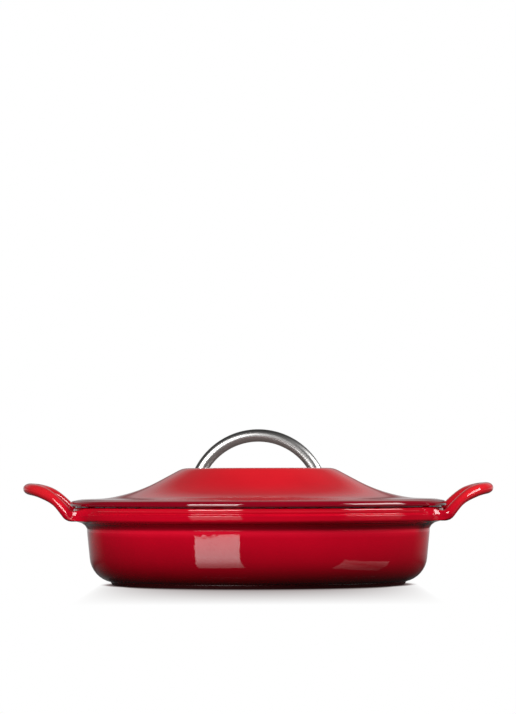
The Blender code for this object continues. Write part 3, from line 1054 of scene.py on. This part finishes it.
def steel_material(name, colour, roughness, grained):
    """Stainless steel with fine marks, along the grain that the mesh carries or all over."""
    material, tree, shader = new_material(name)
    place = add_node(tree, "ShaderNodeTexCoord").outputs["Object"]
    if grained:
        grain = add_node(tree, "ShaderNodeAttribute", attribute_name="grain").outputs["Vector"]
        marks = noise(tree, grain, GRAIN_SCALE, MARK_DETAIL, MARK_ROUGHNESS)
    else:
        marks = noise(tree, place, SCREW_MARK_SCALE, MARK_DETAIL, MARK_ROUGHNESS)
    tree.links.new(tinted(tree, colour, spread(tree, marks, MARK_TONES)), shader.inputs["Base Color"])
    haze = spread(tree, noise(tree, place, HAZE_SCALE, FINE_DETAIL), HAZE)
    tree.links.new(calc(tree, "ADD", spread(tree, marks, roughness), haze), shader.inputs["Roughness"])
    shader.inputs["Metallic"].default_value = 1.0
    tree.links.new(bump(tree, marks, MARK_DEPTH), shader.inputs["Normal"])
    return material


# Studio

def make_camera():
    data = bpy.data.cameras.new("camera")
    data.sensor_width = SENSOR
    data.lens = FOCAL_PX * SENSOR / IMAGE_LONG_PX
    data.clip_start = CLIP_START
    camera = bpy.data.objects.new("camera", data)
    bpy.context.scene.collection.objects.link(camera)
    tilt = Matrix.Rotation(pi / 2 + CAMERA_PITCH, 4, "X") @ Matrix.Rotation(-CAMERA_ROLL, 4, "Z")
    camera.matrix_world = Matrix.Translation(CAMERA_PLACE) @ tilt
    bpy.context.scene.camera = camera


def make_lamp(name, azimuth, elevation, width, height, level):
    """A rectangular soft lamp that faces the pan."""
    out = Vector((sin(azimuth) * cos(elevation), -cos(azimuth) * cos(elevation), sin(elevation)))
    data = bpy.data.lights.new(name, "AREA")
    data.shape = "RECTANGLE"
    data.size = width
    data.size_y = height
    data.energy = level * pi * width * height
    lamp = bpy.data.objects.new(name, data)
    bpy.context.scene.collection.objects.link(lamp)
    lamp.location = out * LAMP_DISTANCE + Vector((0, 0, PAN_MIDDLE_Z))
    lamp.rotation_euler = (-out).to_track_quat("-Z", "Y").to_euler()


def floor_shadow(tree, x, y):
    """Colour of the white floor with a painted shadow close to the pan and a soft painted shade in front of
    it.
    """
    out = calc(tree, "ABSOLUTE", x, 0)
    reach = map_range(tree, out, SHADOW_WIDE_X, SHADOW_SIDE_X, SHADOW_REACH, SHADOW_SIDE_REACH)
    sky = add_node(tree, "ShaderNodeAmbientOcclusion", {"Distance": reach}, samples=SHADOW_SAMPLES)
    contact = ramp(tree, sky.outputs["AO"], SHADOW_TONES)
    front = map_range(tree, y, SHADE_FAR_Y, SHADE_NEAR_Y, 0, 1)
    back = map_range(tree, y, 0, -SHADE_NEAR_Y, 1, 0)
    side = calc(tree, "POWER", calc(tree, "DIVIDE", x, SHADE_HALF_WIDTH), 2)
    width = calc(tree, "POWER", map_range(tree, side, 0, 1, 1, 0), SHADE_POWER)
    shade = calc(tree, "MULTIPLY", calc(tree, "MULTIPLY", front, back), width)
    tone = mix_colour(tree, calc(tree, "MULTIPLY", shade, SHADE_LEVEL), WHITE, SHADE_COLOUR)
    return tinted(tree, tone, contact)


def floor_material():
    """White with a painted shadow to the eye. In the gloss it is a dark table that turns white far away."""
    material, tree, shader = new_material("floor")
    place = add_node(tree, "ShaderNodeTexCoord").outputs["Object"]
    parts = add_node(tree, "ShaderNodeSeparateXYZ", {"Vector": place}).outputs
    shader.inputs["Base Color"].default_value = TABLE_COLOUR
    rough = spread(tree, noise(tree, place, FLOOR_SCALE, COARSE_DETAIL), FLOOR_ROUGHNESS)
    tree.links.new(rough, shader.inputs["Roughness"])
    gloss = map_range(
        tree, parts["X"], TABLE_LEFT_X, TABLE_RIGHT_X, TABLE_LEFT_GLOSS, TABLE_RIGHT_GLOSS)
    tree.links.new(gloss, shader.inputs["Specular IOR Level"])
    white = add_node(tree, "ShaderNodeEmission", {"Color": floor_shadow(tree, parts["X"], parts["Y"])})
    path = add_node(tree, "ShaderNodeLightPath").outputs
    away = add_node(tree, "ShaderNodeVectorMath", {0: place}, operation="LENGTH").outputs["Value"]
    far = map_range(tree, away, TABLE_R, FLOOR_R, 0, 1)
    seen = calc(tree, "MAXIMUM", path["Is Camera Ray"], path["Is Transmission Ray"])
    seen = calc(tree, "MAXIMUM", seen, calc(tree, "MULTIPLY", path["Is Glossy Ray"], far))
    mix = add_node(tree, "ShaderNodeMixShader", {
        0: seen, 1: shader.outputs["BSDF"], 2: white.outputs["Emission"]})
    tree.links.new(mix.outputs["Shader"], tree.nodes["Material Output"].inputs["Surface"])
    return material


def make_floor():
    bm = bmesh.new()
    bmesh.ops.create_circle(bm, cap_ends=True, segments=FLOOR_STEPS, radius=FLOOR_R)
    mesh = bpy.data.meshes.new("floor")
    bm.to_mesh(mesh)
    bm.free()
    mesh.materials.append(floor_material())
    disc = bpy.data.objects.new("floor", mesh)
    bpy.context.scene.collection.objects.link(disc)


def make_world():
    """White to the eye; in the gloss a pale backdrop behind the pan and a dark room; and a soft fill."""
    world = bpy.data.worlds.new("studio")
    bpy.context.scene.world = world
    world.use_nodes = True
    tree = world.node_tree
    place = add_node(tree, "ShaderNodeTexCoord").outputs["Generated"]
    parts = add_node(tree, "ShaderNodeSeparateXYZ", {"Vector": place}).outputs
    level = calc(tree, "SUBTRACT", 1, calc(tree, "MULTIPLY", parts["Z"], parts["Z"]))
    behind = calc(tree, "DIVIDE", parts["Y"], calc(tree, "SQRT", level, 0))
    share = map_range(tree, behind, BACKDROP_SIDE_COSINE, BACKDROP_FULL_COSINE, 0, 1)
    tones = [(sine, (tone, tone, tone)) for sine, tone in BACKDROP_TONES]
    backdrop = mix_colour(tree, share, ROOM_TONE, ramp(tree, parts["Z"], tones))
    path = add_node(tree, "ShaderNodeLightPath").outputs
    fill = calc(tree, "MULTIPLY", path["Is Diffuse Ray"], FILL_LEVEL)
    shown = mix_colour(tree, path["Is Glossy Ray"], fill, backdrop)
    seen = calc(tree, "MAXIMUM", path["Is Camera Ray"], path["Is Transmission Ray"])
    tree.links.new(mix_colour(tree, seen, shown, WHITE), tree.nodes["Background"].inputs["Color"])


def main():
    bpy.context.scene.view_settings.view_transform = "Standard"
    pan_enamel = enamel_material("pan_enamel", PAN_REDS_WITH_PAINTED_LIGHT)
    lid_enamel = enamel_material("lid_enamel", LID_REDS, LID_TOP_Z)
    steel = steel_material("handle_steel", SATIN_STEEL, SATIN_STEEL_ROUGHNESS, True)
    dress(make_pan(), "pan", pan_enamel, ["pan_body"])
    dress(make_lid(), "lid", lid_enamel, ["lid"])
    dress(make_arch(), "lid", steel, ["lid_handle"])
    make_fasteners()
    make_camera()
    make_floor()
    make_world()
    for name, lamp in LAMPS.items():
        make_lamp(name, **lamp)


main()
